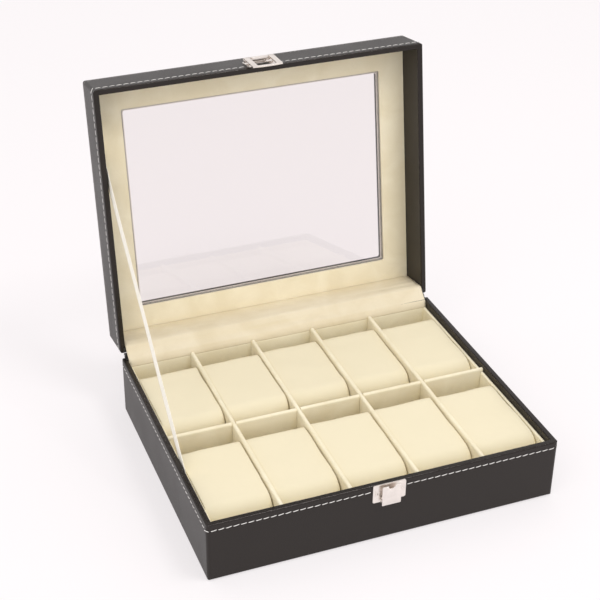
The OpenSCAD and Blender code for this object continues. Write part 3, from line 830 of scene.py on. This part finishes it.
def pillow_shell(width, length, height, step):
    """Closed mesh of a wrapped pillow round its middle: points, faces and the two end seams."""
    profile = rounded_profile(length, height, PILLOW_FRONT_RADIUS, PILLOW_BACK_RADIUS, step)
    sides = len(profile)
    inner = width / 2 - PILLOW_HEM
    count = round(2 * inner / step)
    places = [-width / 2, *(inner * (2 * i / count - 1) for i in range(count + 1)), width / 2]
    columns = len(places)
    points, faces, seams = [], [], []
    for x in places:
        points.extend((x, p.x, p.y) for p in profile)
    faces.extend(ring_faces(columns, sides, close=True))
    rings = round(height / 2 / step)
    for edge, flip in ((0, False), ((columns - 1) * sides, True)):
        seams.extend(range(edge, edge + sides))
        outer = list(range(edge, edge + sides))
        x = points[edge][0]
        shares = [1 - 2 * PILLOW_HEM / height, *(1 - k / rings for k in range(1, rings))]
        for share in shares:
            inner = list(range(len(points), len(points) + sides))
            points.extend((x, p.x * share, p.y * share) for p in profile)
            for m in range(sides):
                n = (m + 1) % sides
                quad = (outer[m], inner[m], inner[n], outer[n])
                faces.append(quad[::-1] if flip else quad)
            outer = inner
        points.append((x, 0, 0))
        for m in range(sides):
            tri = (outer[m], len(points) - 1, outer[(m + 1) % sides])
            faces.append(tri[::-1] if flip else tri)
    return points, faces, seams


def swollen_pillow(size, look):
    """The pillow's shell after the cloth has been drawn over its filling."""
    width, length, height = (size[i] - 2 * PILLOW_INSET[i] for i in range(3))
    points, faces, seams = pillow_shell(width, length, height, PILLOW_STEP)
    mesh = mesh_from("pillow_trial", points, faces)
    trial = new_piece("pillow_trial", mesh, bpy.data.materials[0], None)
    moved = step_cloth(trial, seams, PILLOW_PRESSURE)
    bpy.data.objects.remove(trial)
    result = []
    for before, after in zip((Vector(p) for p in points), moved):
        shift = after - before
        from_seam = min(max((width / 2 - abs(before.x)) / SEAM_PULL, 0.0), 1.0)
        cap = look.crown * from_seam * (2 - from_seam)
        if shift.length > cap:
            shift *= cap / shift.length
        result.append(before + shift)
    return result, faces, seams


def wrinkle(point, normal, seed, size, height):
    """A point moved along its normal by slow noise."""
    start = Vector((seed * 7.3, seed * 3.1, seed * 5.7))
    return point + normal * height * noise.noise(point / size + start)


def build_pillow(number, form, velvet):
    """One pillow in its cell, from the swollen shell, with its own small differences."""
    shell, faces, seams = form
    low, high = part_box(f"watch_pillow_{number}")
    middle = (low + high) / 2
    mirror = -1 if number % 2 else 1
    width = high.x - low.x
    leftmost, rightmost = -width / 2 - PILLOW_PAST_LEFT, width / 2 - PILLOW_SHORT_RIGHT
    mesh = mesh_from(f"pillow_{number}", shell, faces)
    for vertex in mesh.vertices:
        vertex.co.x *= mirror
    if mirror < 0:
        mesh.flip_normals()
    crease = mesh.attributes.new("crease_edge", "FLOAT", "EDGE")
    held = set(seams)
    for edge in mesh.edges:
        if edge.vertices[0] in held and edge.vertices[1] in held:
            crease.data[edge.index].value = SEAM_CREASE
    piece = new_piece(f"velvet_pillow_{number}", mesh, velvet, None)
    piece.modifiers.new("Smooth", "SUBSURF").levels = 1
    piece.modifiers["Smooth"].render_levels = 1
    bpy.context.view_layer.update()
    graph = bpy.context.evaluated_depsgraph_get()
    finished = bpy.data.meshes.new_from_object(piece.evaluated_get(graph))
    piece.modifiers.clear()
    piece.data = finished
    floor = low.z + PILLOW_OFF_FLOOR
    back, front_up, back_up = (MM * value for value in SETTLED[number])
    normals = [n.vector.copy() for n in finished.vertex_normals]
    for vertex, normal in zip(finished.vertices, normals):
        point = vertex.co
        for start, size, height in WRINKLES:
            point = wrinkle(point, normal, number + start, size, height)
        top = 0.5 + 0.5 * point.z / (high.z - middle.z)
        behind = 0.5 + 0.5 * point.y / (high.y - middle.y)
        point.z += top * (front_up + (back_up - front_up) * behind)
        point.y += back
        point.x = min(max(point.x * PILLOW_SPREAD - PILLOW_PUSH, leftmost), rightmost)
        point += middle
        point.z = max(point.z, floor)
        vertex.co = point
    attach(piece, f"pillow_{number}")
    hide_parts(f"watch_pillow_{number}")
    return piece


def smooth_line(points, step, passes=3):
    """Evenly spaced points along a line with its corners rounded."""
    lengths = [(b - a).length for a, b in zip(points, points[1:])]
    count = round(sum(lengths) / step)

    def at(distance):
        for a, b, length in zip(points, points[1:], lengths):
            if distance <= length:
                return a.lerp(b, distance / length)
            distance -= length
        return points[-1].copy()

    line = [at(sum(lengths) * i / count) for i in range(count + 1)]
    for _ in range(passes):
        inner = [(a + 2 * b + c) / 4 for a, b, c in zip(line, line[1:], line[2:])]
        line = [line[0], *inner, line[-1]]
    return line


def thickened(mesh, thickness):
    """The mesh as a closed skin of that thickness."""
    form = bmesh.new()
    form.from_mesh(mesh)
    bmesh.ops.recalc_face_normals(form, faces=form.faces)
    bmesh.ops.solidify(form, geom=form.faces[:], thickness=thickness)
    form.to_mesh(mesh)
    form.free()
    mesh.shade_smooth()
    return mesh


def outline_walk(half_x, half_y, radius, step):
    """Places round a box with round corners: point, direction along it and outward normal."""
    runs = []
    flat_x, flat_y = half_x - radius, half_y - radius
    corners = [(flat_x, -flat_y), (flat_x, flat_y), (-flat_x, flat_y), (-flat_x, -flat_y)]
    quarter = math.pi / 2
    for i, (x, y) in enumerate(corners):
        centre, angle = Vector((x, y, 0)), (i - 1) * quarter
        runs.append(("arc", centre, angle, radius * quarter))
        runs.append(("line", centre, angle + quarter, 2 * (flat_y, flat_x)[i % 2]))
    total = sum(run[3] for run in runs)
    count = round(total / step)
    places = []
    for i in range(count):
        distance = total * (i + 0.5) / count
        for kind, centre, angle, length in runs:
            if distance <= length:
                break
            distance -= length
        turn = angle + (distance / radius if kind == "arc" else 0)
        normal = Vector((math.cos(turn), math.sin(turn), 0))
        along = UP.cross(normal)
        point = centre + radius * normal + (along * distance if kind == "line" else Vector())
        places.append((point, along, normal))
    return places


def stitch(points, faces, centre, along, outward, look, slant):
    """Add one stitch: a bead of thread that dips into its two holes."""
    rings, sides = 9, 7
    side = outward.cross(along)
    along = (along + side * slant).normalized()
    side = outward.cross(along)
    start = len(points)
    for i in range(rings):
        u = 2 * i / (rings - 1) - 1
        body = (1 - abs(u) ** 5) ** 0.5 if abs(u) < 1 else 0.05
        lift = look.thread * (0.3 - 0.55 * abs(u) ** 4)
        spine = centre + along * u * look.length / 2 + outward * lift
        for k in range(sides):
            a = 2 * math.pi * k / sides
            swell = look.thread / 2 * body
            points.append(spine + swell * (side * math.cos(a) + outward * 0.8 * math.sin(a)))
    faces.extend(capped_tube(rings, sides, start))


# ---- Operators ----


class WATCHBOX_OT_stage(bpy.types.Operator):
    """Set the floor, the studio light and the camera"""

    bl_idname = "watchbox.stage"
    bl_label = "Stage"

    def execute(self, context):
        look = context.scene.watchbox_stage
        self.camera(context, look)
        self.floor(look)
        self.lights(context, look)
        context.scene.view_settings.view_transform = "Standard"
        return {"FINISHED"}

    def camera(self, context, look):
        """The camera, from its place, heading, tilt and roll."""
        level = math.cos(look.tilt)
        east, north = math.sin(look.heading) * level, math.cos(look.heading) * level
        back = Vector((-east, -north, math.sin(look.tilt)))
        right = UP.cross(back).normalized()
        above = back.cross(right)
        turned = right * math.cos(look.roll) + above * math.sin(look.roll)
        lifted = above * math.cos(look.roll) - right * math.sin(look.roll)
        data = bpy.data.cameras.new("camera")
        data.lens = look.lens
        data.sensor_width = 36
        data.shift_x, data.shift_y = CAMERA_SHIFT
        data.clip_start = 0.01
        camera = bpy.data.objects.new("camera", data)
        axes = Matrix((turned, lifted, back)).transposed().to_4x4()
        camera.matrix_world = Matrix.Translation(look.camera_place) @ axes
        context.scene.collection.objects.link(camera)
        context.scene.camera = camera

    def floor(self, look):
        """The pale floor that the box stands on."""
        signs = ((-1, -1), (1, -1), (1, 1), (-1, 1))
        corners = [(x * FLOOR_REACH, y * FLOOR_REACH, 0) for x, y in signs]
        material, _, _ = new_material(
            "studio_floor",
            {
                "Base Color": FLOOR_COLOUR,
                "Roughness": 0.9,
                "Specular IOR Level": 0.1,
                "Emission Color": FLOOR_LIGHT,
                "Emission Strength": look.glow,
            },
        )
        mesh = mesh_from("floor", corners, [(0, 1, 2, 3)], smooth=False)
        floor = bpy.data.objects.new("floor", mesh)
        bpy.context.scene.collection.objects.link(floor)
        floor.data.materials.append(material)

    def lights(self, context, look):
        """The white surround, a little dimmer overhead, and the lamps."""
        world = bpy.data.worlds.new("studio")
        world.use_nodes = True
        tree = world.node_tree
        surround = tree.nodes["Background"]
        surround.inputs["Color"].default_value = SKY_COLOUR
        place = add(tree, "ShaderNodeTexCoord")
        apart = add(tree, "ShaderNodeSeparateXYZ")
        fall = add(
            tree, "ShaderNodeMapRange",
            {"From Min": 0.1, "From Max": 0.85, "To Min": look.sky, "To Max": look.sky * ZENITH},
            interpolation_type="SMOOTHSTEP",
        )
        join(
            tree,
            place.outputs["Generated"], apart.inputs["Vector"],
            apart.outputs["Z"], fall.inputs["Value"],
            fall.outputs["Result"], surround.inputs["Strength"],
        )
        context.scene.world = world
        for name, place, size, share in LAMPS:
            data = bpy.data.lights.new(name, "AREA")
            data.shape = "DISK"
            data.size = size
            data.energy = look.key_power * share
            light = bpy.data.objects.new(name, data)
            light.location = place
            towards = LAMP_AIM - light.location
            light.rotation_euler = towards.to_track_quat("-Z", "Y").to_euler()
            context.scene.collection.objects.link(light)


class WATCHBOX_OT_leather(bpy.types.Operator):
    """Finish the leather, the boards under it and the felt"""

    bl_idname = "watchbox.leather"
    bl_label = "Leather and boards"

    def execute(self, context):
        look = context.scene.watchbox_leather
        leather = leather_material(look, "grained_leather", (UP, BASE_HIGH.z))
        lid_up = OPENED.to_3x3() @ UP
        lid_rim, raw_edge = (
            (lid_up, (OPENED @ Vector((0, 0, height))).dot(lid_up))
            for height in (LID_LOW.z, shut_box("lid_top_board")[0].z)
        )
        lid_leather = leather_material(look, "lid_leather", lid_rim, raw_edge)
        board = fibreboard_material("fibreboard", (0.3, 0.19, 0.1), (0.5, 0.35, 0.21))
        card = fibreboard_material("pale_card", (0.62, 0.6, 0.54), (0.8, 0.78, 0.72))
        for node in frame["nodes"]:
            if node.endswith("_leather"):
                finish_node(node, lid_leather if node == "lid_leather" else leather)
            elif node.endswith("_board"):
                finish_node(node, card if node == "lid_top_board" else board)
        finish_node("underside_felt", felt_material())
        return {"FINISHED"}


class WATCHBOX_OT_stitching(bpy.types.Operator):
    """Stitch the leather along both rims"""

    bl_idname = "watchbox.stitching"
    bl_label = "Stitching"

    def execute(self, context):
        look = context.scene.watchbox_stitches
        thread = ready("white_thread", thread_material, look)
        catch_x, clasp_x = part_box("catch_plate")[1].x, shut_box("clasp_plate")[1].x
        for name, body, height, plate_x, place in (
            ("base_stitching", "base", BASE_HIGH.z - look.inset, catch_x, Matrix()),
            ("lid_stitching", "lid", LID_LOW.z + look.inset, clasp_x, OPENED),
        ):
            points, faces = self.rim(height, plate_x, look)
            mesh = mesh_from(name, [place @ p for p in points], faces)
            new_piece(name, mesh, thread, body)
        return {"FINISHED"}

    def rim(self, height, plate_x, look):
        """Stitches all round at one height, but for those that a plate covers."""
        points, faces = [], []
        walk = outline_walk(BASE_HIGH.x, BASE_HIGH.y, CORNER_RADIUS, look.pitch)
        for i, (point, along, normal) in enumerate(walk):
            behind_plate = normal.y < -0.9 and abs(point.x) < plate_x + look.length / 2
            if behind_plate:
                continue
            slant = SLANT + SLANT_CHANGE * noise.noise(Vector((i * 0.37, height * 90, 0)))
            stitch(points, faces, point + UP * height, along, normal, look, slant)
        return points, faces


class WATCHBOX_OT_lining(bpy.types.Operator):
    """Cover the lining, the dividers and the window panel in velvet"""

    bl_idname = "watchbox.lining"
    bl_label = "Lining and dividers"

    def execute(self, context):
        look = context.scene.watchbox_velvet
        # Each part's velvet is lightened by its own share of painted light
        lining, divider, panel = (
            velvet_material(look, f"{name}_velvet", painted_light_and_shade) for name, painted_light_and_shade in VELVET_PAINTED_LIGHT.items()
        )
        for node in frame["nodes"]:
            if node.startswith("lining_"):
                finish_node(node, lining)
            elif "divider" in node:
                finish_node(node, divider)
        finish_node("window_panel", panel)
        return {"FINISHED"}


class WATCHBOX_OT_pillows(bpy.types.Operator):
    """Make the ten velvet pillows"""

    bl_idname = "watchbox.pillows"
    bl_label = "Pillows"

    def execute(self, context):
        look = context.scene.watchbox_velvet
        velvet = ready("cream_velvet", velvet_material, look)
        low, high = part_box("watch_pillow_1")
        form = swollen_pillow(high - low, look)
        for number in SETTLED:
            build_pillow(number, form, velvet)
        return {"FINISHED"}


class WATCHBOX_OT_flap(bpy.types.Operator):
    """Lay the cloth flap over the hinge"""

    bl_idname = "watchbox.flap"
    bl_label = "Hinge flap"

    def execute(self, context):
        look = context.scene.watchbox_velvet
        # The flap's velvet is darkened by its share of painted shade
        velvet = velvet_material(look, "flap_velvet", FLAP_PAINTED_SHADE)
        wall_low, wall_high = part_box("base_flap")
        lid_low, lid_high = shut_box("lid_flap")
        heights = {
            "foot": wall_low.z, "rim": BASE_HIGH.z, "lid rim": lid_low.z, "lid end": lid_high.z
        }
        stops = {
            stop: (OPENED if stop[0].startswith("lid") else Matrix())
            @ Vector((0, wall_high.y + stop[1] * MM, heights[stop[0]] + stop[2] * MM))
            for stop in FLAP_STOPS
        }
        line = smooth_line(list(stops.values()), FLAP_STEP)
        width = wall_high.x - wall_low.x - 2 * FLAP_MARGIN
        rows = len(line)
        points = []
        for i, place in enumerate(line):
            before, after = line[max(i - 1, 0)], line[min(i + 1, rows - 1)]
            along = (after - before).normalized()
            normal = Vector((1, 0, 0)).cross(along)
            t = i / (rows - 1)
            glued_ends = min(1.0, 6 * t, 6 * (1 - t))
            for k in range(FLAP_COLUMNS + 1):
                x = width * (k / FLAP_COLUMNS - 0.5)
                ridge = sum(
                    strength * noise.noise(Vector((x * across, t * up, start)))
                    for strength, across, up, start in FLAP_CREASES
                )
                lift = look.crease * glued_ends * ridge
                points.append(place + Vector((x, 0, 0)) + normal * lift)
        mesh = mesh_from("hinge_cloth", points, ring_faces(rows, FLAP_COLUMNS + 1))
        cloth = thickened(mesh, FLAP_THICKNESS)
        flap = new_piece("hinge_cloth", cloth, velvet, None)
        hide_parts("base_flap", "hinge_flap", "lid_flap")
        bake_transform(flap)
        return {"FINISHED"}


class WATCHBOX_OT_ribbon(bpy.types.Operator):
    """Stretch the stay ribbon from the base to the lid"""

    bl_idname = "watchbox.ribbon"
    bl_label = "Stay ribbon"

    def execute(self, context):
        node = frame["nodes"]["stay_ribbon"]
        corners = [v.co.copy() for v in node.data.vertices]
        low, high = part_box("stay_ribbon")
        slope = self.slope(corners)
        along = Vector((0, math.cos(slope), math.sin(slope)))
        side = Vector((0, -math.sin(slope), math.cos(slope)))
        heights = [p.dot(side) for p in corners]
        middle = (min(heights) + max(heights)) / 2
        start = min(p.dot(along) for p in corners)
        ends = [
            max(p.dot(along) for p in corners if (p.dot(side) - middle) * s > 0) for s in (-1, 1)
        ]
        x = (low.x + high.x) / 2
        points = []
        for i in range(RIBBON_ROWS + 1):
            t = i / RIBBON_ROWS
            sag = math.sin(math.pi * t)
            for k in range(RIBBON_COLUMNS + 1):
                s = k / RIBBON_COLUMNS
                reach = start + t * (ends[0] + (ends[1] - ends[0]) * s - start)
                drift = RIBBON_DRIFT * sag * noise.noise(Vector((t * 5, 1.3, 4.1)))
                cup = RIBBON_CUP * sag * (1 - (2 * s - 1) ** 2)
                inward = Vector((x + drift + cup + RIBBON_BOW * sag, 0, 0))
                across = middle + (s - 0.5) * RIBBON_WIDTH - RIBBON_SAG * sag
                points.append(inward + along * reach + side * across)
        faces = ring_faces(RIBBON_ROWS + 1, RIBBON_COLUMNS + 1)
        satin = thickened(mesh_from("stay_ribbon_satin", points, faces), RIBBON_THICKNESS)
        ribbon = new_piece("satin_ribbon", satin, satin_material(), None)
        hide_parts("stay_ribbon")
        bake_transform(ribbon)
        return {"FINISHED"}

    def slope(self, corners):
        """Angle of the ribbon's long edges above the horizontal."""
        pairs = [
            (a, b)
            for a in corners
            for b in corners
            if abs(a.x - b.x) < SAME_POINT / 2 and b.y > a.y
        ]
        longest = max(pairs, key=lambda pair: (pair[1] - pair[0]).length)
        enough = 0.9 * (longest[1] - longest[0]).length
        lengthways = [pair for pair in pairs if (pair[1] - pair[0]).length > enough]
        angles = sorted(math.atan2((b - a).z, (b - a).y) for a, b in lengthways)
        return angles[len(angles) // 2]


class WATCHBOX_OT_clasp(bpy.types.Operator):
    """Plate the clasp and the catch, with their nails"""

    bl_idname = "watchbox.clasp"
    bl_label = "Clasp and catch"

    def execute(self, context):
        look = context.scene.watchbox_metal
        nickel = ready("nickel_plate", plated_material, "nickel_plate", tuple(look.nickel), 0.24)
        for node, body in (
            ("catch_plate", "base"),
            ("catch_lever", "lever"),
            ("catch_pin", "base"),
            ("clasp_plate", "lid"),
            ("clasp_loop", "loop"),
            ("clasp_pin", "lid"),
        ):
            softened_copy(node, look.edge, f"{node}_plated", nickel, body)
        finish_node("catch_spring", nickel)
        self.nails("catch_nails", "base", Matrix(), nickel)
        self.nails("clasp_nails", "lid", OPENED, nickel)
        return {"FINISHED"}

    def nails(self, node, body, place, nickel):
        """Round-headed nails where the CAD nails stand."""
        back = place.inverted()
        form = bmesh.new()
        form.from_mesh(frame["nodes"][node].data)
        bmesh.ops.remove_doubles(form, verts=form.verts, dist=SAME_POINT)
        points, faces, seen = [], [], set()
        for vertex in form.verts:
            if vertex in seen:
                continue
            island, edge = set(), [vertex]
            while edge:
                here = edge.pop()
                if here in island:
                    continue
                island.add(here)
                edge.extend(e.other_vert(here) for e in here.link_edges)
            seen |= island
            spots = [back @ v.co for v in island]
            self.nail(points, faces, spots)
        form.free()
        mesh = mesh_from(node, [place @ p for p in points], faces)
        piece = new_piece(f"{node}_domed", mesh, nickel, body)
        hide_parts(node)

    def nail(self, points, faces, spots):
        """A domed head and a shank in the space of one CAD nail, whose head faces the front."""
        x = (min(p.x for p in spots) + max(p.x for p in spots)) / 2
        z = (min(p.z for p in spots) + max(p.z for p in spots)) / 2
        radius = (max(p.x for p in spots) - min(p.x for p in spots)) / 2
        front, back = min(p.y for p in spots), max(p.y for p in spots)
        dome = [
            (radius * math.sin(a), front + NAIL_HEAD * (1 - math.cos(a)))
            for a in (0.25, 0.55, 0.9, 1.25, math.pi / 2)
        ]
        outline = dome + [(radius * 0.5, front + NAIL_HEAD), (radius * 0.5, back)]
        sides = 20
        start = len(points)
        turns = [2 * math.pi * k / sides for k in range(sides)]
        for r, y in outline:
            points.extend(Vector((x + r * math.cos(a), y, z + r * math.sin(a))) for a in turns)
        faces.extend(face[::-1] for face in capped_tube(len(outline), sides, start))


class WATCHBOX_OT_hinge(bpy.types.Operator):
    """Finish the strip hinge, its pin and its screws"""

    bl_idname = "watchbox.hinge"
    bl_label = "Hinge"

    def execute(self, context):
        enamel = plated_material("black_enamel", (0.02, 0.019, 0.018), 0.3, metallic=0.0)
        zinc = plated_material("zinc_plate", (0.6, 0.6, 0.58), 0.28)
        for node in ("hinge_base_leaf", "hinge_lid_leaf"):
            finish_node(node, enamel)
        for node in ("hinge_pin", "hinge_base_screws", "hinge_lid_screws"):
            finish_node(node, zinc)
        return {"FINISHED"}


class WATCHBOX_OT_window(bpy.types.Operator):
    """Glaze the window"""

    bl_idname = "watchbox.window"
    bl_label = "Window"

    def execute(self, context):
        finish_node("window_glass", glass_material())
        return {"FINISHED"}


class VIEW3D_PT_watchbox(bpy.types.Panel):
    """Buttons that make the watch box, in order"""

    bl_label = "Watch Box"
    bl_space_type = "VIEW_3D"
    bl_region_type = "UI"
    bl_category = "Watch Box"

    def draw(self, context):
        column = self.layout.column(align=True)
        for operator in OPERATORS:
            column.operator(operator.bl_idname)


SETTINGS = {
    "watchbox_leather": LeatherSettings,
    "watchbox_velvet": VelvetSettings,
    "watchbox_stitches": StitchSettings,
    "watchbox_metal": MetalSettings,
    "watchbox_stage": StageSettings,
}
OPERATORS = (
    WATCHBOX_OT_stage,
    WATCHBOX_OT_leather,
    WATCHBOX_OT_lining,
    WATCHBOX_OT_window,
    WATCHBOX_OT_hinge,
    WATCHBOX_OT_clasp,
    WATCHBOX_OT_stitching,
    WATCHBOX_OT_flap,
    WATCHBOX_OT_ribbon,
    WATCHBOX_OT_pillows,
)


def register():
    for kind in (*SETTINGS.values(), *OPERATORS, VIEW3D_PT_watchbox):
        bpy.utils.register_class(kind)
    for name, kind in SETTINGS.items():
        setattr(bpy.types.Scene, name, PointerProperty(type=kind))


def unregister():
    for name in SETTINGS:
        delattr(bpy.types.Scene, name)
    for kind in reversed((*SETTINGS.values(), *OPERATORS, VIEW3D_PT_watchbox)):
        bpy.utils.unregister_class(kind)


def main():
    register()
    for operator in OPERATORS:
        family, name = operator.bl_idname.split(".")
        getattr(getattr(bpy.ops, family), name)()


if __name__ == "__main__":
    main()
